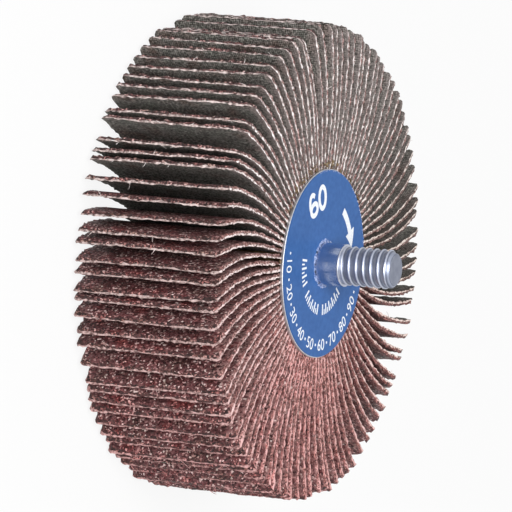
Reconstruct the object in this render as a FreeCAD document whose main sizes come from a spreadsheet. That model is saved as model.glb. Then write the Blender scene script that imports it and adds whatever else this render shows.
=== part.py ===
import FreeCAD, Part
import Sketcher
import math
import os

from FreeCAD import Placement, Rotation, Vector

# Flap wheel on a threaded shank, in millimetres. The wheel turns about Z and stands on its
# rear flange, with the shank pointing up. Z = 0 is the rear flange's flat face.

doc = FreeCAD.newDocument("flap_wheel")

# Driving dimensions
DRIVING = {
    # Flap pack
    "wheel_diameter": 76.2,
    "flap_width": 25.0,
    "flap_count": 96,
    "flap_thickness": 0.62,
    "root_wall": 0.16,  # resin between two neighbouring roots, where they are closest
    "root_depth": 2.5,  # length of each flap that the resin holds
    "straight_run": 7.0,  # length of each flap that stands straight out of the resin
    "curl_radius": 42.0,
    # Flanges and label
    "flange_thickness": 0.5,
    "flange_overlap": 0.75,  # reach of both flanges past the resin, over the roots
    "flange_edge": 0.12,  # rounding of the blanked edge
    "label_thickness": 0.12,
    "label_margin": 0.15,
    # Shank, a 1/4-20 thread on a plain shoulder
    "thread_diameter": 6.35,
    "thread_length": 8.6,
    "thread_chamfer": 0.7,
    "shoulder_diameter": 6.8,
    "shoulder_length": 4.0,
    "shoulder_clearance": 0.15,
    "label_clearance": 0.35,
    "drive_flats": 10.0,  # hexagon that the resin grips
    # Peened rear end, sunk in the rear flange's dish
    "tenon_diameter": 5.0,
    "tenon_clearance": 0.1,
    "head_diameter": 8.0,
    "head_height": 1.2,
    "head_bevel": 0.5,
    "dish_depth": 1.9,
    "dish_margin": 1.0,  # room round the head
    "dish_slope": 1.2,  # radial run of the dish's slanting wall
}

# Sizes that follow from the driving ones. Levels are heights above the rest plane.
DERIVED = {
    "wheel_radius": "wheel_diameter / 2",
    "flap_pitch": "360 / flap_count",
    "pair_pitch": "2 * flap_pitch",
    "root_radius": "flap_count * (flap_thickness + root_wall) / (2 * pi)",
    "core_radius": "root_radius + root_depth",
    "curl_start": "core_radius + straight_run",
    "curl_outer_radius": "curl_radius + flap_thickness / 2",
    "flange_radius": "core_radius + flange_overlap",
    "label_radius": "flange_radius - label_margin",
    "thread_radius": "thread_diameter / 2",
    "thread_tip_radius": "thread_radius - thread_chamfer",
    "shoulder_radius": "shoulder_diameter / 2",
    "flange_bore": "shoulder_radius + shoulder_clearance",
    "label_bore": "shoulder_radius + label_clearance",
    "drive_corner_radius": "drive_flats / 2 / cos(30 deg)",
    "tenon_radius": "tenon_diameter / 2",
    "tenon_bore": "tenon_radius + tenon_clearance",
    "head_radius": "head_diameter / 2",
    "head_face_radius": "head_radius - head_bevel",
    "dish_floor_radius": "head_radius + dish_margin",
    "dish_mouth_radius": "dish_floor_radius + dish_slope",
    "dish_shift": "flange_thickness * tan(atan(dish_depth / dish_slope) / 2)",
    "dish_floor_outside": "dish_floor_radius + dish_shift",
    "dish_mouth_outside": "dish_mouth_radius + dish_shift",
    "rear_level": "flange_thickness",
    "front_level": "rear_level + flap_width",
    "label_level": "front_level + flange_thickness",
    "face_level": "label_level + label_thickness",
    "shoulder_level": "face_level + shoulder_length",
    "tip_level": "shoulder_level + thread_length",
    "chamfer_level": "tip_level - thread_chamfer",
    "drive_level": "dish_depth + flange_thickness",
    "drive_length": "front_level - drive_level",
    "head_level": "dish_depth - head_height",
    "bevel_level": "head_level + head_bevel",
}

FLAPS_PER_NODE = 2

sheet = doc.addObject("Spreadsheet::Sheet", "sizes")


def fill_sheet():
    cells = {name: str(value) for name, value in DRIVING.items()}
    cells.update({name: "=" + formula for name, formula in DERIVED.items()})
    for row, (name, content) in enumerate(cells.items(), start=1):
        sheet.set(f"A{row}", name)
        sheet.set(f"B{row}", content)
        sheet.setAlias(f"B{row}", name)
    doc.recompute()


def size(name):
    return float(sheet.get(name))


def new_body(name):
    body = doc.addObject("PartDesign::Body", name)
    body.Label = name
    return body


def attach(body, feature, role, level=None):
    """Puts a feature on one of its body's own origin planes, at a level above it."""
    planes = [plane for plane in body.Origin.OriginFeatures if plane.Role == role]
    feature.AttachmentSupport = (planes[0], "")
    feature.MapMode = "FlatFace"
    if level:
        feature.setExpression("AttachmentOffset.Base.z", f"sizes.{level}")


def axis_of(body, role):
    return [axis for axis in body.Origin.OriginFeatures if axis.Role == role][0]


def new_sketch(body, name, role, level=None):
    sketch = body.newObject("Sketcher::SketchObject", name)
    attach(body, sketch, role, level)
    return sketch


def dimension(sketch, kind, *places, to):
    """A dimension that follows the size it names."""
    number = sketch.addConstraint(Sketcher.Constraint(kind, *places, size(to)))
    sketch.setExpression(f"Constraints[{number}]", f"sizes.{to}")


# Geometry numbers and point positions as sketches count them
ORIGIN = (-1, 1)
HORIZONTAL_AXIS = -1
VERTICAL_AXIS = -2
START, END, CENTRE = 1, 2, 3


def section(body, name, corners):
    """Half a turned section: each corner is a radius and a level, each a size or 0."""
    sketch = new_sketch(body, name, "XZ_Plane")
    points = [
        Vector(size(radius) if radius else 0, size(level) if level else 0, 0)
        for radius, level in corners
    ]
    for number, point in enumerate(points):
        following = points[(number + 1) % len(points)]
        sketch.addGeometry(Part.LineSegment(point, following), False)
    for number, (radius, level) in enumerate(corners):
        previous = (number - 1) % len(corners)
        sketch.addConstraint(Sketcher.Constraint("Coincident", previous, END, number, START))
        if radius:
            dimension(sketch, "DistanceX", *ORIGIN, number, START, to=radius)
        else:
            on_axis = Sketcher.Constraint("PointOnObject", number, START, VERTICAL_AXIS)
            sketch.addConstraint(on_axis)
        if level:
            dimension(sketch, "DistanceY", *ORIGIN, number, START, to=level)
        else:
            on_ground = Sketcher.Constraint("PointOnObject", number, START, HORIZONTAL_AXIS)
            sketch.addConstraint(on_ground)
    return sketch


def turned(body, name, corners):
    """A full turn of a half section about the wheel's axis."""
    turn = body.newObject("PartDesign::Revolution", name)
    turn.Profile = section(body, name + "_section", corners)
    turn.ReferenceAxis = (axis_of(body, "Z_Axis"), "")
    turn.Angle = 360
    body.Tip = turn
    return turn


def ring(body, name, outer, bore, level, thickness):
    """A flat disc with a round bore."""
    sketch = new_sketch(body, name + "_outline", "XY_Plane", level)
    for number, radius in enumerate((outer, bore)):
        circle = Part.Circle(Vector(0, 0, 0), Vector(0, 0, 1), size(radius))
        sketch.addGeometry(circle, False)
        centred = Sketcher.Constraint("Coincident", number, CENTRE, *ORIGIN)
        sketch.addConstraint(centred)
        dimension(sketch, "Radius", number, to=radius)
    pad = body.newObject("PartDesign::Pad", name)
    pad.Profile = sketch
    pad.setExpression("Length", f"sizes.{thickness}")
    body.Tip = pad
    return pad


def hexagon(body, kind, name):
    """The drive hexagon, added to the shank or taken out of the resin."""
    prism = body.newObject(kind, name)
    attach(body, prism, "XY_Plane", "drive_level")
    prism.Polygon = 6
    prism.setExpression("Circumradius", "sizes.drive_corner_radius")
    prism.setExpression("Height", "sizes.drive_length")
    body.Tip = prism
    return prism


def curl_angle():
    """How far the curl turns before its outer side meets the wheel's rim."""
    start = size("curl_start")
    centre = size("curl_radius")
    outer = size("curl_outer_radius")
    rim = size("wheel_radius")
    reach = (rim**2 - start**2 - centre**2 - outer**2) / (2 * outer)
    return math.atan2(centre, start) + math.asin(reach / math.hypot(start, centre))


def flap_outline(body, name):
    """One flap seen along the axis: straight out of the resin, then curled to the rim."""
    sketch = new_sketch(body, name, "XY_Plane", "rear_level")
    half = size("flap_thickness") / 2
    root = size("root_radius")
    start = size("curl_start")
    outer = size("curl_outer_radius")
    inner = outer - 2 * half
    centre = Vector(start, size("curl_radius"), 0)
    turn = curl_angle()
    end_way = Vector(math.sin(turn), -math.cos(turn), 0)
    upwards = Vector(0, 0, 1)

    def arc(radius):
        circle = Part.Circle(centre, upwards, radius)
        return Part.ArcOfCircle(circle, -math.pi / 2, -math.pi / 2 + turn)

    shapes = (
        Part.LineSegment(Vector(root, -half, 0), Vector(start, -half, 0)),
        arc(outer),
        Part.LineSegment(centre + end_way * outer, centre + end_way * inner),
        arc(inner),
        Part.LineSegment(Vector(start, half, 0), Vector(root, half, 0)),
        Part.LineSegment(Vector(root, half, 0), Vector(root, -half, 0)),
    )
    grit_side, outer_arc, tip, inner_arc, cloth_side, root_end = range(len(shapes))
    for shape in shapes:
        sketch.addGeometry(shape, False)
    rim = len(shapes)
    rim_circle = Part.Circle(Vector(0, 0, 0), upwards, size("wheel_radius"))
    sketch.addGeometry(rim_circle, True)

    rules = (
        ("Tangent", grit_side, END, outer_arc, START),
        ("Coincident", outer_arc, END, tip, START),
        ("Coincident", tip, END, inner_arc, END),
        ("Tangent", inner_arc, START, cloth_side, START),
        ("Coincident", cloth_side, END, root_end, START),
        ("Coincident", root_end, END, grit_side, START),
        ("Coincident", outer_arc, CENTRE, inner_arc, CENTRE),
        ("PointOnObject", outer_arc, CENTRE, tip),
        ("Horizontal", grit_side),
        ("Horizontal", cloth_side),
        ("Symmetric", root_end, START, root_end, END, HORIZONTAL_AXIS),
        ("Coincident", rim, CENTRE, *ORIGIN),
        ("PointOnObject", outer_arc, END, rim),
    )
    for rule in rules:
        sketch.addConstraint(Sketcher.Constraint(*rule))
    dimension(sketch, "DistanceX", *ORIGIN, root_end, START, to="root_radius")
    dimension(sketch, "DistanceY", root_end, END, root_end, START, to="flap_thickness")
    dimension(sketch, "DistanceX", *ORIGIN, grit_side, END, to="curl_start")
    dimension(sketch, "Radius", outer_arc, to="curl_outer_radius")
    dimension(sketch, "Radius", rim, to="wheel_radius")
    return sketch


def flap_node(number, flaps):
    """A few neighbouring flaps of coated cloth, each a solid of its own."""
    body = new_body(f"flap_pair_{number + 1:02d}")
    body.AllowCompound = True
    pad = body.newObject("PartDesign::Pad", f"flap_{number + 1:02d}")
    pad.Profile = flap_outline(body, f"flap_outline_{number + 1:02d}")
    pad.setExpression("Length", "sizes.flap_width")
    body.Tip = pad
    if flaps > 1:
        pattern = body.newObject("PartDesign::PolarPattern", f"next_flap_{number + 1:02d}")
        pattern.Originals = [pad]
        pattern.Axis = (axis_of(body, "Z_Axis"), [""])
        pattern.Occurrences = flaps
        pattern.setExpression("Angle", f"sizes.flap_pitch * {flaps - 1}")
        body.Tip = pattern
    body.Placement = Placement(Vector(0, 0, 0), Rotation(Vector(0, 0, 1), 0))
    body.setExpression("Placement.Rotation.Angle", f"sizes.pair_pitch * {number}")
    return body


def threaded_shank():
    """One turned steel piece: head, tenon, hexagon, shoulder and threaded end."""
    body = new_body("threaded_shank")
    corners = (
        (0, "head_level"),
        ("head_face_radius", "head_level"),
        ("head_radius", "bevel_level"),
        ("head_radius", "dish_depth"),
        ("tenon_radius", "dish_depth"),
        ("tenon_radius", "drive_level"),
        ("shoulder_radius", "drive_level"),
        ("shoulder_radius", "shoulder_level"),
        ("thread_radius", "shoulder_level"),
        ("thread_radius", "chamfer_level"),
        ("thread_tip_radius", "tip_level"),
        (0, "tip_level"),
    )
    turned(body, "shank_turning", corners)
    hexagon(body, "PartDesign::AdditivePrism", "drive_hexagon")
    return body


def rear_flange():
    """Blanked steel disc, its centre pressed inward so that the head stays off the ground."""
    body = new_body("rear_flange")
    corners = (
        ("tenon_bore", "dish_depth"),
        ("dish_floor_radius", "dish_depth"),
        ("dish_mouth_radius", 0),
        ("flange_radius", 0),
        ("flange_radius", "rear_level"),
        ("dish_mouth_outside", "rear_level"),
        ("dish_floor_outside", "drive_level"),
        ("tenon_bore", "drive_level"),
    )
    turned(body, "rear_pressing", corners)
    return body


def front_flange():
    """Blanked steel disc under the label, with its outer edge rounded."""
    body = new_body("front_flange")
    disc = ring(
        body, "front_disc", "flange_radius", "flange_bore", "front_level", "flange_thickness"
    )
    doc.recompute()
    edge = body.newObject("PartDesign::Fillet", "front_edge")
    edge.Base = (disc, [outer_edge_name(disc, size("flange_radius"), size("label_level"))])
    edge.setExpression("Radius", "sizes.flange_edge")
    body.Tip = edge
    return body


def outer_edge_name(feature, radius, level):
    """The name of the round edge with this radius at this level."""
    for number, edge in enumerate(feature.Shape.Edges, start=1):
        curve = edge.Curve
        round_edge = isinstance(curve, Part.Circle) and abs(curve.Radius - radius) < 1e-6
        if round_edge and abs(curve.Center.z - level) < 1e-6:
            return f"Edge{number}"
    raise ValueError(f"{feature.Label} has no round edge of radius {radius} at {level}")


def front_label():
    """Printed label stuck on the front flange."""
    body = new_body("front_label")
    ring(body, "label_disc", "label_radius", "label_bore", "label_level", "label_thickness")
    return body


def resin_core():
    """Cast resin round the hexagon, with a slot for each flap's root."""
    body = new_body("resin_core")
    corners = (
        (0, "drive_level"),
        ("dish_floor_outside", "drive_level"),
        ("dish_mouth_outside", "rear_level"),
        ("core_radius", "rear_level"),
        ("core_radius", "front_level"),
        (0, "front_level"),
    )
    turned(body, "core_casting", corners)
    hexagon(body, "PartDesign::SubtractivePrism", "hexagon_bore")

    sketch = new_sketch(body, "root_slot_outline", "XY_Plane", "front_level")
    half = size("flap_thickness") / 2
    root = size("root_radius")
    past = size("flange_radius")
    corner_points = (
        Vector(root, -half, 0),
        Vector(past, -half, 0),
        Vector(past, half, 0),
        Vector(root, half, 0),
    )
    for number, point in enumerate(corner_points):
        following = corner_points[(number + 1) % len(corner_points)]
        sketch.addGeometry(Part.LineSegment(point, following), False)
    low_side, open_end, high_side, root_end = range(len(corner_points))
    rules = (
        ("Coincident", low_side, END, open_end, START),
        ("Coincident", open_end, END, high_side, START),
        ("Coincident", high_side, END, root_end, START),
        ("Coincident", root_end, END, low_side, START),
        ("Horizontal", low_side),
        ("Horizontal", high_side),
        ("Vertical", open_end),
        ("Symmetric", root_end, START, root_end, END, HORIZONTAL_AXIS),
    )
    for rule in rules:
        sketch.addConstraint(Sketcher.Constraint(*rule))
    dimension(sketch, "DistanceX", *ORIGIN, root_end, START, to="root_radius")
    dimension(sketch, "DistanceX", *ORIGIN, low_side, END, to="flange_radius")
    dimension(sketch, "DistanceY", root_end, END, root_end, START, to="flap_thickness")

    slot = body.newObject("PartDesign::Pocket", "root_slot")
    slot.Profile = sketch
    slot.Type = "ThroughAll"
    slots = body.newObject("PartDesign::PolarPattern", "root_slots")
    slots.Originals = [slot]
    slots.Axis = (axis_of(body, "Z_Axis"), [""])
    slots.Angle = 360
    slots.setExpression("Occurrences", "sizes.flap_count")
    body.Tip = slots
    return body


def checked(bodies):
    """Raises unless every object was computed and every sub-part is sound."""
    for item in doc.Objects:
        if "Invalid" in item.State or "Error" in item.State:
            raise RuntimeError(f"{item.Label} was not computed: {item.State}")
    for body in bodies:
        if body.Shape.isNull() or not body.Shape.isValid() or not body.Shape.Solids:
            raise RuntimeError(f"{body.Label} is not a sound solid")


fill_sheet()
flap_total = int(size("flap_count"))
sub_parts = [threaded_shank(), rear_flange(), resin_core(), front_flange(), front_label()]
for node_number in range(math.ceil(flap_total / FLAPS_PER_NODE)):
    flaps_left = flap_total - node_number * FLAPS_PER_NODE
    sub_parts.append(flap_node(node_number, min(FLAPS_PER_NODE, flaps_left)))
doc.recompute()
checked(sub_parts)

os.makedirs("parts", exist_ok=True)
for sub_part in sub_parts:
    sub_part.Shape.exportStep(f"parts/{sub_part.Label}.step")
    box = sub_part.Shape.BoundBox
    print(
        f"{sub_part.Label}: {len(sub_part.Shape.Solids)} solid(s), "
        f"{sub_part.Shape.Volume:.2f} mm3, Z {box.ZMin:.2f} to {box.ZMax:.2f}"
    )
turn = curl_angle()
flat_length = size("curl_start") - size("root_radius") + size("curl_radius") * turn
print(f"flap cut flat: {flat_length:.2f} x {size('flap_width'):.2f} mm")
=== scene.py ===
"""Looks of a flap wheel on a threaded shank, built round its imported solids. Sizes in millimetres are
named values times MM. The wheel turns about Z and stands on its rear flange, shank up."""

import math

import bpy
import numpy as np
from mathutils import Matrix, Vector


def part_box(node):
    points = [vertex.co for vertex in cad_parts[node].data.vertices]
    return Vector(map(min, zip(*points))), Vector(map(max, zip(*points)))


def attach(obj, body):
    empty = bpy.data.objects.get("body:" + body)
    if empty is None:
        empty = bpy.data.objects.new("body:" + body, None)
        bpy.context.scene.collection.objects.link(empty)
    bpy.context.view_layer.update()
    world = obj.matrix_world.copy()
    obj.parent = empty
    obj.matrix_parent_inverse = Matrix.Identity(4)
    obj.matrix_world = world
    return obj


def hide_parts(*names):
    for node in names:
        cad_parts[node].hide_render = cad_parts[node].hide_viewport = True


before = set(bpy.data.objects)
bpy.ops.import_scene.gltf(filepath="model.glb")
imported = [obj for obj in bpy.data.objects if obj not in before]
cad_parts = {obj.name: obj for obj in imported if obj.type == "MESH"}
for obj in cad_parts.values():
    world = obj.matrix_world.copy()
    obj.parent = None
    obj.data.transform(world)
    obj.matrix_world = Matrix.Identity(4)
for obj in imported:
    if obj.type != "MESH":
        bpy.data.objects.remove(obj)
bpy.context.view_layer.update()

MM = 0.001
SEED = 60

# Sizes read from the frame
core_low, core_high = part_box("resin_core")
flange_low, flange_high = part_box("front_flange")
label_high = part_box("front_label")[1]
shank_low, shank_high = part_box("threaded_shank")
FRONT_LEVEL = flange_low.z
REAR_LEVEL = core_low.z
FLAP_WIDTH = FRONT_LEVEL - REAR_LEVEL
CORE_RADIUS = core_high.x
FLANGE_RADIUS = flange_high.x
LABEL_RADIUS = label_high.x
LABEL_FACE = label_high.z
TIP_LEVEL = shank_high.z

# Flap pack, as in the solids
FLAP_COUNT = 96
FLAP_THICKNESS = 0.62 * MM
ROOT_DEPTH = 2.5 * MM
STRAIGHT_RUN = 7.0 * MM
CURL_RADIUS = 42.0 * MM
FLAP_LENGTH = 26.39 * MM
ROOT_RADIUS = CORE_RADIUS - ROOT_DEPTH
CURL_START = CORE_RADIUS + STRAIGHT_RUN
PITCH = 2 * math.pi / FLAP_COUNT

# Layers of the coated cloth, from the grit side to the cloth side
CLOTH_LAYER = 0.25 * MM
GRIT_LAYER = FLAP_THICKNESS - CLOTH_LAYER

# Shank, a 1/4-20 thread above a plain shoulder
THREAD_RADIUS = 3.175 * MM
THREAD_PITCH = 1.27 * MM
THREAD_DEPTH = 0.45 * MM
THREAD_LENGTH = 8.6 * MM
THREAD_CHAMFER = 0.7 * MM
CREST_ROUNDING = 0.06 * MM
SUNK_THREAD = 0.3 * MM
RUN_OUT_SLOPE = 1.3
# Rings this far from the shoulder's ends keep its shading even
SHADING_RING = 0.3 * MM
SHOULDER_RADIUS = 3.4 * MM
SHOULDER_LEVEL = TIP_LEVEL - THREAD_LENGTH
DRIVE_FLATS = 10.0 * MM
DRIVE_LEVEL = 2.4 * MM
TENON_RADIUS = 2.5 * MM
HEAD_RADIUS = 4.0 * MM
HEAD_BEVEL = 0.5 * MM
HEAD_LEVEL = shank_low.z
HEAD_TOP = 1.9 * MM
LABEL_BORE = 3.75 * MM

rng = np.random.default_rng(SEED)


def linear(hex_colour):
    """An sRGB hex value as linear red, green, blue and alpha."""
    channels = [int(hex_colour[place : place + 2], 16) / 255 for place in (1, 3, 5)]
    return tuple(c / 12.92 if c <= 0.04045 else ((c + 0.055) / 1.055) ** 2.4 for c in channels) + (1.0,)


def add_node(tree, kind, inputs=None, stops=None, **settings):
    """Adds a shader node. An input is a value or another node's output, and stops are a ramp's
    colours."""
    node = tree.nodes.new("ShaderNode" + kind)
    for name, value in settings.items():
        setattr(node, name, value)
    for socket, value in (inputs or {}).items():
        if isinstance(value, bpy.types.NodeSocket):
            tree.links.new(value, node.inputs[socket])
        else:
            node.inputs[socket].default_value = value
    for number, (place, hex_colour) in enumerate(stops or ()):
        ramp = node.color_ramp
        stop = ramp.elements[number] if number < 2 else ramp.elements.new(place)
        stop.position = place
        stop.color = linear(hex_colour)
    return node


def new_material(name):
    material = bpy.data.materials.new(name)
    material.use_nodes = True
    material.node_tree.nodes.clear()
    return material, material.node_tree


def finished(material, shader):
    add_node(material.node_tree, "OutputMaterial", {"Surface": shader.outputs[0]})
    return material


def under_film(tree, colour, tint_layer):
    """The colour of a surface multiplied by a thin coloured layer. The layer is a film of dust or resin
    in some places and painted shade in others.
    """
    layers = {"Factor": 1.0, "A": colour, "B": tint_layer}
    return add_node(tree, "Mix", layers, data_type="RGBA", blend_type="MULTIPLY").outputs["Result"]


def seen_directly(tree):
    """1 where the camera, a mirror or glass looks straight at a thing, and 0 where light from it falls
    on something else."""
    path = add_node(tree, "LightPath")
    seen = path.outputs["Is Camera Ray"]
    for ray in ("Is Glossy Ray", "Is Transmission Ray"):
        seen = add_node(tree, "Math", {0: seen, 1: path.outputs[ray]}, operation="MAXIMUM").outputs[0]
    return seen


# Materials

# Shades round the wheel, from the left over the bottom, the right and the top. The first three tint a
# film of grinding dust, and how light or dark they get round the wheel is painted light and shade.
GRIT_EDGE_DUST_AND_SHADE = (
    (0.0, "#D8BEBB"),
    (0.12, "#D9B3B2"),
    (0.2, "#F4C1C0"),
    (0.3, "#F2C5C3"),
    (0.4, "#BE8986"),
    (0.5, "#A1918A"),
    (0.65, "#E2D8D6"),
    (0.8, "#E6DEDD"),
    (1.0, "#D8BEBB"),
)
CLOTH_EDGE_DUST_AND_SHADE = (
    (0.0, "#F6E9E8"),
    (0.14, "#E2BAB9"),
    (0.25, "#E2B0AE"),
    (0.32, "#E3BAB7"),
    (0.38, "#F0D5D0"),
    (0.52, "#EFE6DE"),
    (0.65, "#FFFCFB"),
    (0.92, "#FFFFFF"),
    (1.0, "#F6E9E8"),
)
WORN_CLOTH_DUST_AND_SHADE = (
    (0.0, "#D8C9C7"),
    *CLOTH_EDGE_DUST_AND_SHADE[1:-2],
    (0.93, "#F0E6E4"),
    (1.0, "#D8C9C7"),
)
# The next two are painted light in specks along the flaps' front edges, on the grit and on the cloth,
# with painted shade on the cloth at the right.
GRIT_FRONT_LIGHT_AND_SHADE = ((0.0, "#BA9490"), (0.3, "#B8837F"), (0.43, "#B27B77"), (0.7, "#9C8F8B"), (1.0, "#BA9490"))
CLOTH_FRONT_LIGHT_AND_SHADE = ((0.0, "#AA9491"), (0.25, "#AC7F7B"), (0.5, "#4E453F"), (0.65, "#A79B99"), (1.0, "#AA9491"))


def dust_colour(tree, place, stops):
    """The colour round the wheel from the given stops, broken into clouds: red at the lower left, brown
    at the lower right, grey above. It tints a film of grinding dust and a band along the front edges, and
    how light or dark it gets round the wheel is painted light and shade.
    """
    drift = 20 * MM
    clouds = add_node(tree, "TexNoise", {"Vector": place, "Scale": 1 / (6 * MM), "Detail": 3})
    drifting = {0: clouds.outputs["Color"], 1: (drift,) * 3, 2: place}
    stirred = add_node(tree, "VectorMath", drifting, operation="MULTIPLY_ADD")
    centring = {0: stirred.outputs["Vector"], 1: (-drift / 2,) * 3}
    centred = add_node(tree, "VectorMath", centring, operation="ADD")
    axes = add_node(tree, "SeparateXYZ", {"Vector": centred.outputs["Vector"]})
    angle = add_node(tree, "Math", {0: axes.outputs["Y"], 1: axes.outputs["X"]}, operation="ARCTAN2")
    turn = {"Value": angle.outputs[0], "From Min": -math.pi, "From Max": math.pi}
    share = add_node(tree, "MapRange", turn)
    ramp = add_node(tree, "ValToRGB", {"Fac": share.outputs["Result"]}, stops=stops)
    return ramp.outputs["Color"]


def settled_dust(tree, place, colour, light_and_shade_stops):
    """The colour under a thin film of grinding dust, which carries painted light and shade round the
    wheel.
    """
    return under_film(tree, colour, dust_colour(tree, place, light_and_shade_stops))


def scuffed_front(tree, place, colour, speckle, light_and_shade_stops):
    """The colour of a flap's face with painted light in specks along its front edge, against the shade
    between the flaps. How light or dark that band gets round the wheel is painted light and shade.
    """
    painted_light_width = 2.2 * MM
    level = add_node(tree, "SeparateXYZ", {"Vector": place}).outputs["Z"]
    nearness = {
        "Value": level,
        "From Min": FRONT_LEVEL - painted_light_width,
        "From Max": FRONT_LEVEL,
        "To Max": 0.62,
    }
    reach = add_node(tree, "MapRange", nearness)
    share = add_node(
        tree, "Math", {0: speckle, 1: 0.8, 2: reach.outputs["Result"]}, operation="MULTIPLY_ADD"
    )
    shown = add_node(
        tree, "MapRange", {"Value": share.outputs[0], "From Min": 0.62, "From Max": 1.1, "To Max": 0.65}
    )
    with_painted_light = add_node(
        tree,
        "Mix",
        {"Factor": shown.outputs["Result"], "A": colour, "B": dust_colour(tree, place, light_and_shade_stops)},
        data_type="RGBA",
    )
    return with_painted_light.outputs["Result"]


def aluminium_oxide_grit(name, grain_size, grain_stops, patch_stops, dusty_and_shaded=False):
    """Brown aluminium oxide grains set in red-brown resin. Each grain has its own shade, and the few
    broken ones are painted pale, as painted sparks of light. Patches show where the resin lies thick."""
    material, tree = new_material(name)
    place = add_node(tree, "TexCoord").outputs["Object"]
    grains = add_node(tree, "TexVoronoi", {"Vector": place, "Scale": 1 / grain_size})
    grain = add_node(tree, "SeparateColor", {"Color": grains.outputs["Color"]})
    shade = add_node(tree, "ValToRGB", {"Fac": grain.outputs["Red"]}, stops=grain_stops)
    patches = add_node(tree, "TexNoise", {"Vector": place, "Scale": 1 / (3 * MM), "Detail": 4})
    resin = add_node(tree, "ValToRGB", {"Fac": patches.outputs["Fac"]}, stops=patch_stops)
    colour = under_film(tree, shade.outputs["Color"], resin.outputs["Color"])
    # Dusty grit lies under a film of dust with painted light and shade round the wheel, and other grit
    # takes painted light along its front edge.
    if dusty_and_shaded:
        colour = settled_dust(tree, place, colour, GRIT_EDGE_DUST_AND_SHADE)
    else:
        colour = scuffed_front(tree, place, colour, grain.outputs["Blue"], GRIT_FRONT_LIGHT_AND_SHADE)
    relief = add_node(
        tree,
        "Bump",
        {"Height": grains.outputs["Distance"], "Strength": 0.8, "Distance": 0.5 * grain_size},
        invert=True,
    )
    shine = add_node(tree, "MapRange", {"Value": grain.outputs["Green"], "To Min": 0.4, "To Max": 0.85})
    shader = add_node(
        tree,
        "BsdfPrincipled",
        {
            "Base Color": colour,
            "Roughness": shine.outputs["Result"],
            "Normal": relief.outputs["Normal"],
            "IOR": 1.6,
            "Specular IOR Level": 0.3,
        },
    )
    return finished(material, shader)


def backing_cloth():
    """Resin-filled twill backing, dyed grey-green and matt. Threads 0.35 mm apart give a faint weave,
    fuzz and filler mottle it, and grinding dust lies on it in smears. Along its front edge it is painted
    lighter in specks, as painted light, and darker at the right, as painted shade."""
    material, tree = new_material("backing_cloth")
    place = add_node(tree, "TexCoord").outputs["Object"]
    thread_spacing = 0.35 * MM
    weaving = {
        "Vector": add_node(tree, "TexCoord").outputs["UV"],
        "Scale": 2 * math.pi / (20 * thread_spacing),
        "Distortion": 2.5,
        "Detail Scale": 0.4,
    }
    warp, weft = (add_node(tree, "TexWave", weaving, bands_direction=way).outputs["Fac"] for way in "XY")
    weave = add_node(tree, "Math", {0: warp, 1: weft}, operation="ADD").outputs[0]
    fuzz = add_node(tree, "TexNoise", {"Vector": place, "Scale": 1 / (0.35 * MM), "Detail": 4})
    height = add_node(
        tree, "Math", {0: weave, 1: 0.12, 2: fuzz.outputs["Fac"]}, operation="MULTIPLY_ADD"
    )
    thread_colour = add_node(
        tree,
        "ValToRGB",
        {"Fac": height.outputs[0]},
        stops=((0.4, "#312F2C"), (0.62, "#6C6A65"), (0.82, "#B3AFA9")),
    )
    smears = add_node(tree, "TexNoise", {"Vector": place, "Scale": 1 / (4 * MM), "Detail": 4})
    smear_colour = add_node(
        tree,
        "ValToRGB",
        {"Fac": smears.outputs["Fac"]},
        stops=((0.3, "#F1FAF5"), (0.5, "#FFFFFF"), (0.72, "#EAD2CC")),
    )
    smeared = under_film(tree, thread_colour.outputs["Color"], smear_colour.outputs["Color"])
    colour = scuffed_front(tree, place, smeared, fuzz.outputs["Fac"], CLOTH_FRONT_LIGHT_AND_SHADE)
    relief = add_node(
        tree, "Bump", {"Height": height.outputs[0], "Strength": 0.6, "Distance": 0.08 * MM}
    )
    shader = add_node(
        tree,
        "BsdfPrincipled",
        {
            "Base Color": colour,
            "Roughness": 0.9,
            "Normal": relief.outputs["Normal"],
            "IOR": 1.5,
            "Specular IOR Level": 0.25,
        },
    )
    return finished(material, shader)


def cut_cotton(name, stops, light_and_shade_stops):
    """The cut ends of undyed cotton threads, off-white. Threads that stand back or hold dust break
    the pale line up along its length. A film of dust lies over them, with painted light and shade round
    the wheel."""
    material, tree = new_material(name)
    place = add_node(tree, "TexCoord").outputs["Object"]
    ends = add_node(tree, "TexNoise", {"Vector": place, "Scale": 1 / (0.55 * MM), "Detail": 3})
    shade = add_node(tree, "ValToRGB", {"Fac": ends.outputs["Fac"]}, stops=stops)
    shader = add_node(
        tree,
        "BsdfPrincipled",
        {
            "Base Color": settled_dust(tree, place, shade.outputs["Color"], light_and_shade_stops),
            "Roughness": 0.9,
            "IOR": 1.5,
            "Specular IOR Level": 0.2,
        },
    )
    return finished(material, shader)


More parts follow.
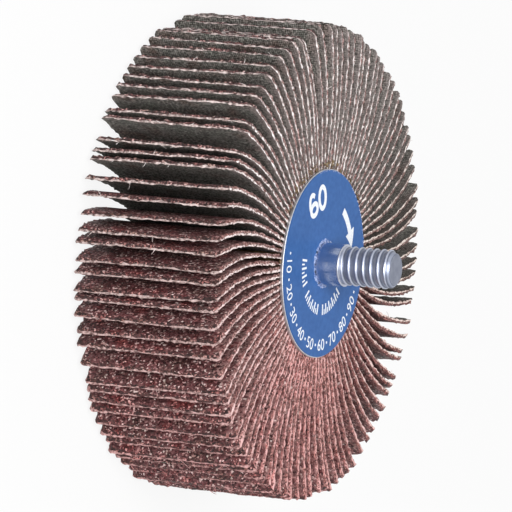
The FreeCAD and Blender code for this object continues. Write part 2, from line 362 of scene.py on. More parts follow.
def zinc_plated_steel():
    """Bright zinc on steel, bluish grey with fine marks round the axis. The turned shoulder is nearly
    a mirror, and the rolled thread is duller. The thread's colour is painted shade by depth: darker on
    its flanks, paler at its crests."""
    material, tree = new_material("zinc_plated_steel")
    place = add_node(tree, "TexCoord").outputs["Object"]
    stretched = add_node(tree, "Mapping", {"Vector": place, "Scale": (0.12, 0.12, 1.0)})
    marks = add_node(
        tree, "TexNoise", {"Vector": stretched.outputs["Vector"], "Scale": 1 / (0.15 * MM), "Detail": 2}
    )
    stains = add_node(tree, "TexNoise", {"Vector": place, "Scale": 1 / (1.5 * MM), "Detail": 3})
    plating = add_node(
        tree, "ValToRGB", {"Fac": stains.outputs["Fac"]}, stops=((0.3, "#B7BCC9"), (0.7, "#D3D7E1"))
    )
    # How deep a point lies in the thread sets painted shade: darker on the flanks, paler at the crests,
    # white on the shoulder, and a mid grey on the end face.
    flattened = add_node(tree, "Mapping", {"Vector": place, "Scale": (1.0, 1.0, 0.0)})
    reach = add_node(tree, "VectorMath", {0: flattened.outputs["Vector"]}, operation="LENGTH")
    depth = add_node(
        tree,
        "MapRange",
        {
            "Value": reach.outputs["Value"],
            "From Min": THREAD_RADIUS - THREAD_DEPTH,
            "From Max": SHOULDER_RADIUS,
        },
    )
    level = add_node(tree, "SeparateXYZ", {"Vector": place}).outputs["Z"]
    end_face = add_node(
        tree,
        "MapRange",
        {
            "Value": level,
            "From Min": TIP_LEVEL - 0.1 * MM,
            "From Max": TIP_LEVEL - 0.02 * MM,
            "To Max": 0.39,
        },
    )
    clear = add_node(
        tree, "Math", {0: depth.outputs["Result"], 1: end_face.outputs["Result"]}, operation="MAXIMUM"
    )
    tint_layer = add_node(
        tree,
        "ValToRGB",
        {"Fac": clear.outputs[0]},
        stops=((0.0, "#C2C6D0"), (0.2, "#8C909C"), (0.35, "#8C909C"), (0.5, "#E4E6EC"), (1.0, "#FFFFFF")),
    )
    rolled = add_node(
        tree,
        "MapRange",
        {
            "Value": level,
            "From Min": SHOULDER_LEVEL - 0.2 * MM,
            "From Max": SHOULDER_LEVEL + 0.2 * MM,
            "To Min": 0.18,
            "To Max": 0.36,
        },
    )
    roughness = add_node(
        tree,
        "Math",
        {0: marks.outputs["Fac"], 1: 0.12, 2: rolled.outputs["Result"]},
        operation="MULTIPLY_ADD",
    )
    relief = add_node(
        tree, "Bump", {"Height": marks.outputs["Fac"], "Strength": 0.1, "Distance": 0.02 * MM}
    )
    shader = add_node(
        tree,
        "BsdfPrincipled",
        {
            "Base Color": under_film(tree, plating.outputs["Color"], tint_layer.outputs["Color"]),
            "Metallic": 1.0,
            "Roughness": roughness.outputs[0],
            "Normal": relief.outputs["Normal"],
        },
    )
    return finished(material, shader)


def blanked_steel():
    """Tin-bright sheet steel as it leaves the press, a satin grey with fine scratches."""
    material, tree = new_material("blanked_steel")
    place = add_node(tree, "TexCoord").outputs["Object"]
    stretched = add_node(tree, "Mapping", {"Vector": place, "Scale": (0.06, 1.0, 1.0)})
    scratches = add_node(
        tree, "TexNoise", {"Vector": stretched.outputs["Vector"], "Scale": 1 / (0.15 * MM), "Detail": 3}
    )
    colour = add_node(
        tree, "ValToRGB", {"Fac": scratches.outputs["Fac"]}, stops=((0.3, "#B4B7BC"), (0.7, "#DADCDF"))
    )
    roughness = add_node(
        tree, "MapRange", {"Value": scratches.outputs["Fac"], "To Min": 0.3, "To Max": 0.48}
    )
    relief = add_node(
        tree, "Bump", {"Height": scratches.outputs["Fac"], "Strength": 0.2, "Distance": 0.01 * MM}
    )
    shader = add_node(
        tree,
        "BsdfPrincipled",
        {
            "Base Color": colour.outputs["Color"],
            "Metallic": 1.0,
            "Roughness": roughness.outputs["Result"],
            "Normal": relief.outputs["Normal"],
        },
    )
    return finished(material, shader)


def cast_epoxy():
    """Cast epoxy, brown, with paler yellow clouds and tiny bubbles."""
    material, tree = new_material("cast_epoxy")
    place = add_node(tree, "TexCoord").outputs["Object"]
    clouds = add_node(tree, "TexNoise", {"Vector": place, "Scale": 1 / (1.2 * MM), "Detail": 4})
    colour = add_node(
        tree,
        "ValToRGB",
        {"Fac": clouds.outputs["Fac"]},
        stops=((0.3, "#3F2E1E"), (0.6, "#6E5638"), (0.8, "#A9956C")),
    )
    bubbles = add_node(tree, "TexVoronoi", {"Vector": place, "Scale": 1 / (0.6 * MM)})
    relief = add_node(
        tree, "Bump", {"Height": bubbles.outputs["Distance"], "Strength": 0.3, "Distance": 0.05 * MM}
    )
    shader = add_node(
        tree,
        "BsdfPrincipled",
        {
            "Base Color": colour.outputs["Color"],
            "Roughness": 0.35,
            "Normal": relief.outputs["Normal"],
            "IOR": 1.55,
            "Subsurface Weight": 0.1,
            "Subsurface Scale": 0.5 * MM,
        },
    )
    return finished(material, shader)


def blue_label():
    """Coated label paper printed solid blue, satin, with faint unevenness of the ink."""
    material, tree = new_material("blue_label")
    place = add_node(tree, "TexCoord").outputs["Object"]
    ink = add_node(tree, "TexNoise", {"Vector": place, "Scale": 1 / (0.8 * MM), "Detail": 5})
    colour = add_node(
        tree, "ValToRGB", {"Fac": ink.outputs["Fac"]}, stops=((0.3, "#315C99"), (0.7, "#3A67A6"))
    )
    relief = add_node(
        tree, "Bump", {"Height": ink.outputs["Fac"], "Strength": 0.08, "Distance": 0.02 * MM}
    )
    shader = add_node(
        tree,
        "BsdfPrincipled",
        {
            "Base Color": colour.outputs["Color"],
            "Roughness": 0.42,
            "Normal": relief.outputs["Normal"],
            "IOR": 1.5,
            "Specular IOR Level": 0.1,
        },
    )
    return finished(material, shader)


def bare_paper(name, low, high):
    """Paper of the label: the print leaves it white and matt, and torn fibres, blue with ink, show it
    round the hole and at the rim."""
    material, tree = new_material(name)
    place = add_node(tree, "TexCoord").outputs["Object"]
    fibres = add_node(tree, "TexNoise", {"Vector": place, "Scale": 1 / (0.3 * MM), "Detail": 4})
    colour = add_node(
        tree, "ValToRGB", {"Fac": fibres.outputs["Fac"]}, stops=((0.35, low), (0.65, high))
    )
    shader = add_node(
        tree, "BsdfPrincipled", {"Base Color": colour.outputs["Color"], "Roughness": 0.5, "IOR": 1.5}
    )
    return finished(material, shader)


def studio_floor_paint():
    """Matt white board. Seen directly it is mostly plain white, and the rest keeps the shadow."""
    plain_share = 0.88
    material, tree = new_material("studio_floor_paint")
    matt = add_node(tree, "BsdfDiffuse", {"Color": linear("#E8E8E8")})
    white = add_node(tree, "Emission", {"Color": (1, 1, 1, 1), "Strength": 1.0})
    share = add_node(tree, "Math", {0: seen_directly(tree), 1: plain_share}, operation="MULTIPLY")
    mixture = {"Fac": share.outputs[0], 1: matt.outputs[0], 2: white.outputs[0]}
    shader = add_node(tree, "MixShader", mixture)
    return finished(material, shader)


# Grit 60 has grains about 0.3 mm across. The palest stop of each grain ramp is a painted sparkle.
GRIT = aluminium_oxide_grit(
    "coated_grit",
    0.3 * MM,
    ((0.0, "#2D1718"), (0.4, "#5C3639"), (0.8, "#825558"), (0.9, "#C29E9C"), (1.0, "#FFF1EF")),
    ((0.3, "#CFC9BE"), (0.5, "#FFF4F2"), (0.7, "#FFB9B4")),
)
WORN_GRIT = aluminium_oxide_grit(
    "worn_grit",
    0.28 * MM,
    ((0.0, "#231718"), (0.5, "#4F3738"), (0.8, "#7C5F5F"), (0.92, "#C4A8A6"), (1.0, "#F4E6E4")),
    ((0.35, "#D8D4C6"), (0.5, "#FFF8F6"), (0.7, "#FFD8D3")),
    dusty_and_shaded=True,
)
SHEARED_GRIT = aluminium_oxide_grit(
    "sheared_grit",
    0.26 * MM,
    ((0.0, "#3C2726"), (0.35, "#866765"), (0.72, "#BFA29F"), (0.9, "#EADAD7"), (1.0, "#FBF3F1")),
    ((0.35, "#DED5CF"), (0.55, "#FFFBFA"), (0.75, "#FFDAD4")),
    dusty_and_shaded=True,
)
CLOTH = backing_cloth()
SHEARED_CLOTH = cut_cotton(
    "sheared_cloth",
    ((0.34, "#6E5F5B"), (0.42, "#C2B4B1"), (0.5, "#F0E8E5"), (0.62, "#FFFBFA")),
    CLOTH_EDGE_DUST_AND_SHADE,
)
WORN_CLOTH = cut_cotton(
    "worn_cloth",
    ((0.34, "#6E6261"), (0.43, "#A89B98"), (0.52, "#D4CAC7"), (0.64, "#F2EAE8")),
    WORN_CLOTH_DUST_AND_SHADE,
)
ZINC = zinc_plated_steel()
STEEL = blanked_steel()
EPOXY = cast_epoxy()
LABEL = blue_label()
INK = bare_paper("white_print", "#E6EDF6", "#FBFDFF")
TORN_PAPER = bare_paper("torn_paper", "#3F62A4", "#B4C1E0")


# Ways of working shared by the pieces


def start_clean():
    if bpy.context.object and bpy.context.object.mode != "OBJECT":
        bpy.ops.object.mode_set(mode="OBJECT")
    bpy.ops.object.select_all(action="DESELECT")


def select_only(*pieces):
    start_clean()
    for piece in pieces:
        piece.select_set(True)
    bpy.context.view_layer.objects.active = pieces[0]


def start_editing(piece):
    select_only(piece)
    bpy.ops.object.mode_set(mode="EDIT")
    bpy.ops.mesh.select_all(action="SELECT")


def stop_editing():
    """Turns every face outward and leaves the mesh."""
    bpy.ops.mesh.select_all(action="SELECT")
    bpy.ops.mesh.normals_make_consistent(inside=False)
    bpy.ops.object.mode_set(mode="OBJECT")


def thicken(piece, *layers):
    """Extrudes a flat piece upwards, layer by layer."""
    start_editing(piece)
    for layer in layers:
        bpy.ops.mesh.extrude_region_move(TRANSFORM_OT_translate={"value": (0, 0, layer)})
    stop_editing()


def linked(name, data):
    """A new object in the scene."""
    item = bpy.data.objects.new(name, data)
    bpy.context.scene.collection.objects.link(item)
    return item


def made_of(piece, material):
    piece.data.materials.clear()
    piece.data.materials.append(material)


def in_place(piece):
    """Moves a piece's place from its object into its mesh."""
    select_only(piece)
    bpy.ops.object.transform_apply(location=True, rotation=True, scale=True)


def joined(name, pieces):
    """Several pieces as one, under one name."""
    select_only(*pieces)
    if len(pieces) > 1:
        bpy.ops.object.join()
    piece = bpy.context.object
    piece.name = name
    piece.data.name = name
    return piece


def apply_modifier(piece, kind, **settings):
    select_only(piece)
    modifier = piece.modifiers.new(kind.lower(), kind)
    for name, value in settings.items():
        setattr(modifier, name, value)
    bpy.ops.object.modifier_apply(modifier=modifier.name)


def turned_piece(name, half_section, sides=96):
    """A turned solid: a filled circle, extruded from each corner of its half section to the next."""
    start_clean()
    radius, level = half_section[0]
    bpy.ops.mesh.primitive_circle_add(
        vertices=sides, radius=radius, fill_type="NGON", location=(0, 0, level)
    )
    piece = bpy.context.object
    piece.name = name
    start_editing(piece)
    for next_radius, next_level in half_section[1:]:
        step = (0, 0, next_level - level)
        ratio = next_radius / radius
        bpy.ops.mesh.extrude_region_move(TRANSFORM_OT_translate={"value": step})
        bpy.ops.transform.resize(value=(ratio, ratio, 1))
        radius = next_radius
        level = next_level
    stop_editing()
    in_place(piece)
    return piece


def smooth_by_angle(piece, degrees):
    select_only(piece)
    bpy.ops.object.shade_smooth_by_angle(angle=math.radians(degrees))


def polar(radius, angle, level=0.0):
    return Vector((radius * math.cos(angle), radius * math.sin(angle), level))


# Flaps

STEPS_ALONG = 43
STEPS_ACROSS = 43
ROOT_STEPS = 2
# The grit surface, the glue line and the cloth surface: how far each stands back from the tip and from
# the side edges, where grit chipped off, and how uneven it is
TIP_SETBACK = np.array((0.34, 0.1, 0.0)) * MM
SIDE_SETBACK = np.array((0.17, 0.05, 0.0)) * MM
EDGE_ROUGHNESS = np.array((0.1, 0.08, 0.065)) * MM
CLOTH_SURFACE = 2
TIP_SWING = math.radians(5)
TIP_SPACING = 2.49 * MM
LEAST_SPACING = 1.15 * MM
LEAN_SPREAD = 0.5 * MM
LEAN_LIKENESS = 0.4
SPACING_ROUNDS = 40
# Corners wear more than the middle of an edge does, by this factor and over this distance
CORNER_WEAR = 2.5
CORNER_WEAR_REACH = 1.8 * MM
# Waves in the cloth, over the width and along the length
WIDTH_WAVE = 0.03 * MM
LENGTH_WAVE = 0.04 * MM
# A lean grows with this power of the distance from the root
LEAN_POWER = 1.35
SIDE_ROUGHNESS = 0.7
# Where the pack parts a little, as angle, spread and reach
PARTINGS = (
    (math.radians(103), math.radians(9), 0.6 * MM),
    (math.radians(-95), math.radians(5), 0.5 * MM),
)


def along_flap(share):
    """Where a grid line lies from root to tip. The hidden root takes only two steps."""
    root_share = ROOT_STEPS / STEPS_ALONG
    held = share / root_share * ROOT_DEPTH
    free = ROOT_DEPTH + (share - root_share) / (1 - root_share) * (FLAP_LENGTH - ROOT_DEPTH)
    return np.where(share < root_share, held, free)


def across_flap(share):
    """Where a grid line lies across the width. Lines close up towards the corners."""
    eased = (1 - np.cos(math.pi * share)) / 2
    return FLAP_WIDTH * (0.7 * share + 0.3 * eased)


def places_of(mesh):
    flat = np.zeros(len(mesh.vertices) * 3)
    mesh.vertices.foreach_get("co", flat)
    return flat.reshape(-1, 3)


def set_places(mesh, places):
    mesh.vertices.foreach_set("co", places.ravel())
    mesh.update()


def flap_blank():
    """One flap cut flat: X from root to tip, Y from the shank side to the far side, and Z through it
    from the grit to the cloth."""
    start_clean()
    bpy.ops.mesh.primitive_grid_add(
        x_subdivisions=STEPS_ALONG, y_subdivisions=STEPS_ACROSS, size=1, location=(0.5, 0.5, 0)
    )
    blank = bpy.context.object
    blank.name = "flap_blank"
    in_place(blank)
    grid = places_of(blank.data)
    grid[:, 0] = along_flap(grid[:, 0])
    grid[:, 1] = across_flap(grid[:, 1])
    grid[:, 2] = -FLAP_THICKNESS / 2
    set_places(blank.data, grid)
    thicken(blank, GRIT_LAYER, CLOTH_LAYER)

    for material in (GRIT, CLOTH, SHEARED_GRIT, SHEARED_CLOTH, WORN_GRIT, WORN_CLOTH):
        blank.data.materials.append(material)
    for face in blank.data.polygons:
        if face.normal.z < -0.5:
            face.material_index = 0
        elif face.normal.z > 0.5:
            face.material_index = 1
        else:
            at_tip = abs(face.normal.x) > 0.5
            in_cloth = face.center.z > GRIT_LAYER - FLAP_THICKNESS / 2
            face.material_index = 2 + in_cloth + 2 * at_tip
    flat = places_of(blank.data)
    cloth_map = blank.data.uv_layers.active or blank.data.uv_layers.new(name="cloth_map")
    cloth_map.name = "cloth_map"
    corners = np.zeros(len(blank.data.loops), dtype=np.int32)
    blank.data.loops.foreach_get("vertex_index", corners)
    cloth_map.data.foreach_set("uv", flat[corners, :2].ravel())
    smooth_by_angle(blank, 40)
    return blank


def wobble(count, reach):
    """Smooth random values, one for each grid line, about 1 in size."""
    rough = rng.normal(size=count + 2 * reach)
    window = np.hanning(2 * reach + 3)[1:-1]
    return np.convolve(rough, window / np.sqrt((window**2).sum()), mode="valid")


def flap_leans():
    """How far each tip stands from its even place, round the wheel. A flap leans partly as the one
    before it does, the pack parts a little in two places, and two tips never touch."""
    leans = np.zeros(FLAP_COUNT)
    lean = 0.0
    for number in range(FLAP_COUNT):
        lean = LEAN_LIKENESS * lean + rng.normal() * LEAN_SPREAD
        leans[number] = lean
    tips = np.arange(FLAP_COUNT) * PITCH + TIP_SWING
    for angle, spread, reach in PARTINGS:
        past = (tips - angle + math.pi) % (2 * math.pi) - math.pi
        leans += np.sign(past) * np.exp(-((past / spread) ** 2)) * reach
    room = TIP_SPACING - LEAST_SPACING
    for _ in range(SPACING_ROUNDS):
        push = np.clip(np.roll(leans, 1) - leans - room, 0, None) / 2
        leans += push - np.roll(push, -1)
    return leans


def corner_cut(from_edge, radius):
    """How much shorter a flap is at this distance from its side edge, for a rounded corner."""
    inside = np.clip(radius - from_edge, 0, radius)
    return radius - np.sqrt(radius**2 - inside**2)


def stand_back(from_edge, setback):
    """How far a layer draws back at this distance from the cut edge, fading out inwards."""
    return setback * np.exp(-from_edge / np.maximum(3 * setback, 0.01 * MM))


def chipping_at(angle):
    """Grit has chipped off the cut edges most at the lower left."""
    most_chipped = math.radians(225)
    return 0.3 + 0.7 * max(0.0, math.cos(angle - most_chipped))


def ease(share):
    share = np.clip(share, 0, 1)
    return share * share * (3 - 2 * share)


def corner_radii(angle):
    """How rounded a flap's corners are, on the shank side and on the far side: most at the upper left,
    and on the shank side at the lower right too."""
    upper_left = max(0.0, math.cos(angle - math.radians(140)))
    lower_right = max(0.0, math.cos(angle + math.radians(25))) ** 3
    return (0.2 + upper_left + 0.7 * lower_right) * MM, (0.3 + 0.5 * upper_left) * MM


def extra_reach(angle):
    """The wheel wears unevenly, so its flaps are longest at the lower and upper right."""
    degrees = (-150, -90, -60, -30, 0, 45, 90, 125, 150, 175)
    reach = (0.0, 0.2, 0.5, 0.9, 0.6, 0.5, 0.1, 0.6, 0.3, 0.1)
    return np.interp(math.degrees(angle), degrees, reach, period=360) * MM


class Flap:
    """One flap's own small differences, drawn in a fixed order."""

    def __init__(self, number, lean):
        self.angle = number * PITCH
        self.lean = lean
        self.twist = np.clip(rng.normal(0, 0.12), -0.22, 0.22) * MM
        self.bow = rng.normal(0.03, 0.07) * MM
        self.chipping = chipping_at(self.angle + TIP_SWING) * rng.uniform(0.8, 1.2)
        front, rear = corner_radii(self.angle + TIP_SWING)
        self.front_corner = front * rng.uniform(0.6, 1.4)
        self.rear_corner = rear * rng.uniform(0.6, 1.4)
        self.length_change = rng.normal(0, 0.15) * MM + extra_reach(self.angle + TIP_SWING)
        self.waves = [wobble(STEPS_ACROSS + 1, 4), wobble(STEPS_ALONG + 1, 3)]
        self.tip_edge = rng.normal(0, 1, (2, 3, STEPS_ACROSS + 1))
        self.side_edges = rng.normal(0, 1, (2, 2, 3, STEPS_ALONG + 1))

    def shaped(self, flat, lines):
        """The flat blank's points, curled and set in the wheel."""
        along, across, through = flat.T
        row, column, layer = lines
        side = 2 * across / FLAP_WIDTH - 1
        free = np.clip((along - ROOT_DEPTH) / (FLAP_LENGTH - ROOT_DEPTH), 0, 1)

        near_tip = ease((along - 0.8 * FLAP_LENGTH) / (0.2 * FLAP_LENGTH))
        to_tip = FLAP_LENGTH - along
        to_rear = FLAP_WIDTH - across
        cut = corner_cut(across, self.front_corner) + corner_cut(to_rear, self.rear_corner)
        to_corner = to_tip + np.minimum(across, to_rear)
        worn_corner = 1 + CORNER_WEAR * np.exp(-to_corner / CORNER_WEAR_REACH)
        chipping = worn_corner * self.chipping
        along = along - near_tip * (cut - self.length_change)
        along = along - stand_back(to_tip, TIP_SETBACK[layer] * chipping)
        side_setback = SIDE_SETBACK[layer] * chipping
        across = across + stand_back(across, side_setback) - stand_back(to_rear, side_setback)
        rough = EDGE_ROUGHNESS[layer]
        at_tip = row == STEPS_ALONG
        along = along + at_tip * rough * self.tip_edge[0, layer, column]
        through = through + at_tip * rough * self.tip_edge[1, layer, column]
        for number, edge_column in enumerate((0, STEPS_ACROSS)):
            at_side = (column == edge_column) & (free > 0)
            side_step = SIDE_ROUGHNESS * rough * self.side_edges[number, 0, layer, row]
            across = across + at_side * side_step
            through = through + at_side * ~at_tip * rough * self.side_edges[number, 1, layer, row]

        bend = self.lean + self.twist * side + self.bow * (side**2 - 0.33)
        bend = bend + WIDTH_WAVE * self.waves[0][column]
        through = through + free**LEAN_POWER * bend + free * LENGTH_WAVE * self.waves[1][row]

        curl = np.clip((along - (CURL_START - ROOT_RADIUS)) / CURL_RADIUS, 0, None)
        straight = np.minimum(along, CURL_START - ROOT_RADIUS)
        x = ROOT_RADIUS + straight + CURL_RADIUS * np.sin(curl) - through * np.sin(curl)
        y = CURL_RADIUS * (1 - np.cos(curl)) + through * np.cos(curl)
        turned_x = x * math.cos(self.angle) - y * math.sin(self.angle)
        turned_y = x * math.sin(self.angle) + y * math.cos(self.angle)
        return np.column_stack((turned_x, turned_y, FRONT_LEVEL - across))


def grid_lines(flat):
    """Which grid row, column and layer each of the blank's points lies on."""
    return [np.unique(np.round(places, 7), return_inverse=True)[1] for places in flat.T]


def loose_thread():
    """A straight cotton thread 1 long and 1 thick, which the frayed ones are bent from."""
    start_clean()
    bpy.ops.mesh.primitive_cone_add(
        vertices=4, radius1=0.5, radius2=0.25, depth=1, location=(0, 0, 0.5), end_fill_type="TRIFAN"
    )
    thread = bpy.context.object
    in_place(thread)
    start_editing(thread)
    for level in (0.35, 0.7):
        bpy.ops.mesh.select_all(action="SELECT")
        bpy.ops.mesh.bisect(plane_co=(0, 0, level), plane_no=(0, 0, 1), threshold=0.001)
    bpy.ops.object.mode_set(mode="OBJECT")
    thread.data.materials.append(SHEARED_CLOTH)
    return thread


def frayed_threads(flap, thread, count):
    """Threads that stick out of a flap's tip or of its edge on the shank side."""
    straight = places_of(thread.data)
    rooted = 0.1 * MM
    in_cloth = (FLAP_THICKNESS - CLOTH_LAYER) / 2
    pieces = []
    for _ in range(count):
        at_tip = rng.random() < 0.5
        if at_tip:
            foot = np.array((FLAP_LENGTH - rooted, rng.uniform(0.04, 0.96) * FLAP_WIDTH, in_cloth))
            way = np.array((0.5, rng.normal(0, 0.8), rng.normal(0, 0.5)))
        else:
            foot = np.array((rng.uniform(0.4, 0.98) * FLAP_LENGTH, rooted, in_cloth))
            way = np.array((rng.normal(0, 0.8), -0.35, rng.normal(0, 0.5)))
        way = way / np.linalg.norm(way)
        droop = rng.normal(0, 0.25, 3)
        length = rng.uniform(0.4, 1.3 if at_tip else 0.8) * MM
        thickness = rng.uniform(0.08, 0.13) * MM
        side = np.cross(way, (0.3, 0.2, 0.9))
        side = side / np.linalg.norm(side)
        rise = np.cross(way, side)
        share = straight[:, 2:]
        flat = foot + length * (share * way + share**2 * droop)
        flat = flat + thickness * (straight[:, :1] * side + straight[:, 1:2] * rise)
        row = np.full(len(flat), STEPS_ALONG - 1)
        column = np.full(len(flat), STEPS_ACROSS // 2)
        layer = np.full(len(flat), CLOTH_SURFACE)
        mesh = thread.data.copy()
        set_places(mesh, flap.shaped(flat, (row, column, layer)))
        pieces.append(linked("frayed_thread", mesh))
    return pieces


def flap_pack():
    """All flaps, two to a piece as in the solids, each with its own mesh and its own small changes."""
    blank = flap_blank()
    thread = loose_thread()
    flat = places_of(blank.data)
    lines = grid_lines(flat)
    leans = flap_leans()
    flaps_per_node = 2
    for pair in range(FLAP_COUNT // flaps_per_node):
        members = []
        loose = []
        for member in range(flaps_per_node):
            number = pair * flaps_per_node + member
            flap = Flap(number, leans[number])
            mesh = blank.data.copy()
            set_places(mesh, flap.shaped(flat, lines))
            members.append(linked(f"flap_{number + 1:02d}", mesh))
            loose += frayed_threads(flap, thread, int(rng.integers(2, 6)))
        piece = joined(f"flaps_{pair + 1:02d}", members + loose)
        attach(piece, "root")
        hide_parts(f"flap_pair_{pair + 1:02d}")
    bpy.data.objects.remove(blank)
    bpy.data.objects.remove(thread)


# Shank


def shank_thread():
    """Rolled thread: one turn's outline, with a rounded crest, wound up the axis, cut level at both
    ends and chamfered at the tip."""
    crest_side = THREAD_RADIUS - CREST_ROUNDING
    root_radius = THREAD_RADIUS - THREAD_DEPTH
    first_crest = -1.745 * MM
    base = SHOULDER_LEVEL + first_crest
    outline_in_turns = (
        (crest_side, 0),
        (THREAD_RADIUS, 0.06),
        (THREAD_RADIUS, 0.17),
        (crest_side, 0.23),
        (root_radius, 0.44),
        (root_radius, 0.79),
        (crest_side, 1),
    )
    outline = [(radius, turns * THREAD_PITCH) for radius, turns in outline_in_turns]
    mesh = bpy.data.meshes.new("thread")
    points = [(radius, 0, base + level) for radius, level in outline]
    mesh.from_pydata(points, [(n, n + 1) for n in range(len(points) - 1)], [])
    thread = linked("thread", mesh)
    steps = 72
    turns = math.ceil((THREAD_LENGTH + 4 * THREAD_PITCH) / THREAD_PITCH)
    apply_modifier(
        thread,
        "SCREW",
        axis="Z",
        angle=2 * math.pi,
        steps=steps,
        render_steps=steps,
        screw_offset=THREAD_PITCH,
        iterations=turns,
        use_merge_vertices=True,
        merge_threshold=1e-6,
    )
    start_editing(thread)
    bpy.ops.mesh.remove_doubles(threshold=1e-6)
    cuts = (
        (SHOULDER_LEVEL - SUNK_THREAD, {"clear_inner": True}),
        (TIP_LEVEL, {"clear_outer": True}),
    )
    for level, side in cuts:
        bpy.ops.mesh.select_all(action="SELECT")
        bpy.ops.mesh.bisect(
            plane_co=(0, 0, level), plane_no=(0, 0, 1), use_fill=True, threshold=1e-7, **side
        )
    stop_editing()

    places = places_of(thread.data)
    radius = np.hypot(places[:, 0], places[:, 1])
    chamfer = THREAD_RADIUS - THREAD_CHAMFER + (TIP_LEVEL - places[:, 2])
    run_out = THREAD_RADIUS - (places[:, 2] - SHOULDER_LEVEL) * RUN_OUT_SLOPE
    wanted = np.minimum(np.maximum(radius, run_out), np.minimum(chamfer, THREAD_RADIUS))
    places[:, :2] *= (wanted / radius)[:, None]
    set_places(thread.data, places)
    smooth_by_angle(thread, 42)
    return thread


def shank():
    """The turned blank, with its peened head, tenon, drive hexagon and shoulder, and the thread."""
    blank = turned_piece(
        "shank_blank",
        (
            (HEAD_RADIUS - HEAD_BEVEL, HEAD_LEVEL),
            (HEAD_RADIUS, HEAD_LEVEL + HEAD_BEVEL),
            (HEAD_RADIUS, HEAD_TOP),
            (TENON_RADIUS, HEAD_TOP),
            (TENON_RADIUS, DRIVE_LEVEL),
            (SHOULDER_RADIUS, DRIVE_LEVEL),
            (SHOULDER_RADIUS, DRIVE_LEVEL + SHADING_RING),
            (SHOULDER_RADIUS, SHOULDER_LEVEL - SHADING_RING),
            (SHOULDER_RADIUS, SHOULDER_LEVEL),
        ),
    )
    apply_modifier(blank, "BEVEL", width=0.15 * MM, segments=3, limit_method="ANGLE")
    smooth_by_angle(blank, 40)
    start_clean()
    bpy.ops.mesh.primitive_cylinder_add(
        vertices=6,
        radius=DRIVE_FLATS / 2 / math.cos(math.pi / 6),
        depth=FRONT_LEVEL - DRIVE_LEVEL,
        location=(0, 0, (FRONT_LEVEL + DRIVE_LEVEL) / 2),
    )
    hexagon = bpy.context.object
    in_place(hexagon)
    apply_modifier(hexagon, "BEVEL", width=0.2 * MM, segments=2, limit_method="ANGLE")
    piece = joined("threaded_shank_finished", [blank, hexagon, shank_thread()])
    made_of(piece, ZINC)
    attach(piece, "root")
    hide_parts("threaded_shank")


# Label print

INK_HEIGHT = 0.03 * MM
INK_LEVEL = LABEL_FACE - 0.1 * INK_HEIGHT
DIGIT_RADIUS = 10.85 * MM
DIGIT_HEIGHT = 4.3 * MM
DIGIT_WIDTH = 3.15 * MM
DIGIT_STROKE = 0.82 * MM
SIX_ANGLE = math.radians(121.3)
ZERO_ANGLE = math.radians(103.3)
SCALE_RADIUS = 13.1 * MM
SCALE_HEIGHT = 1.85 * MM
SCALE_START = math.radians(182)
SCALE_END = math.radians(330)
SCALE_NUMBERS = 9
DOT_SIZE = 0.4 * MM
MARK_END = 8.3 * MM
# Where a mark starts and how wide it is
LONG_MARK = (6.6 * MM, 0.36 * MM)
SHORT_MARK = (7.4 * MM, 0.26 * MM)
# Groups of marks, as first and last angle in degrees and count
MARK_GROUPS = ((176, 206, 7), (221, 260, 9), (275, 323, 11))


def oval_ring(width, height, stroke, bottom, opening=None, depth=INK_HEIGHT):
    """A flat oval band of print, lying as it is read, and open where a digit's stroke ends."""
    start_clean()
    bpy.ops.mesh.primitive_circle_add(
        vertices=56, radius=0.5, fill_type="NOTHING", location=(0, bottom + height / 2, 0)
    )
    ring = bpy.context.object
    ring.scale = (width, height, 1)
    in_place(ring)
    start_editing(ring)
    bpy.ops.mesh.extrude_region_move(TRANSFORM_OT_translate={"value": (0, 0, 0)})
    bpy.ops.transform.resize(value=(1 - 2 * stroke / width, 1 - 2 * stroke / height, 1))
    bpy.ops.object.mode_set(mode="OBJECT")
    if opening:
        delete_faces(ring, opening)
    thicken(ring, depth)
    return ring


def delete_faces(piece, unwanted):
    """Takes out the faces whose middle the given test picks."""
    select_only(piece)
    bpy.ops.object.mode_set(mode="EDIT")
    bpy.ops.mesh.select_all(action="DESELECT")
    bpy.ops.object.mode_set(mode="OBJECT")
    for face in piece.data.polygons:
        face.select = unwanted(face.center)
    bpy.ops.object.mode_set(mode="EDIT")
    bpy.ops.mesh.select_mode(type="FACE")
    bpy.ops.mesh.delete(type="FACE")
    bpy.ops.mesh.select_mode(type="VERT")
    bpy.ops.object.mode_set(mode="OBJECT")


def set_on_label(piece, radius, angle, top_outward=True):
    """Moves print that lies as it is read to its place on the label."""
    places = places_of(piece.data)
    facing = 1 if top_outward else -1
    outward = facing * np.array((math.cos(angle), math.sin(angle), 0))
    sideways = facing * np.array((math.sin(angle), -math.cos(angle), 0))
    centre = np.array(polar(radius, angle, INK_LEVEL))
    upward = np.array((0, 0, 1))
    placed = centre + places[:, :1] * sideways + places[:, 1:2] * outward + places[:, 2:] * upward
    set_places(piece.data, placed)


def printed(name, pieces):
    """One piece of white print, made of its marks."""
    piece = joined(name, pieces)
    made_of(piece, INK)
    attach(piece, "root")


def grit_number():
    """The plain grit number, 60, in bold narrow digits that stand on a circle round the shank."""
    half = DIGIT_HEIGHT / 2
    zero = oval_ring(DIGIT_WIDTH, DIGIT_HEIGHT, DIGIT_STROKE, -half)
    bowl = oval_ring(DIGIT_WIDTH, 0.62 * DIGIT_HEIGHT, DIGIT_STROKE, -half)
    stem = oval_ring(
        DIGIT_WIDTH,
        DIGIT_HEIGHT,
        DIGIT_STROKE,
        -half,
        lambda middle: middle.y < (0.26 if middle.x > 0 else -0.16) * DIGIT_HEIGHT,
        0.7 * INK_HEIGHT,
    )
    six = joined("six", [bowl, stem])
    set_on_label(six, DIGIT_RADIUS, SIX_ANGLE)
    set_on_label(zero, DIGIT_RADIUS, ZERO_ANGLE)
    printed("label_grit_number", [six, zero])


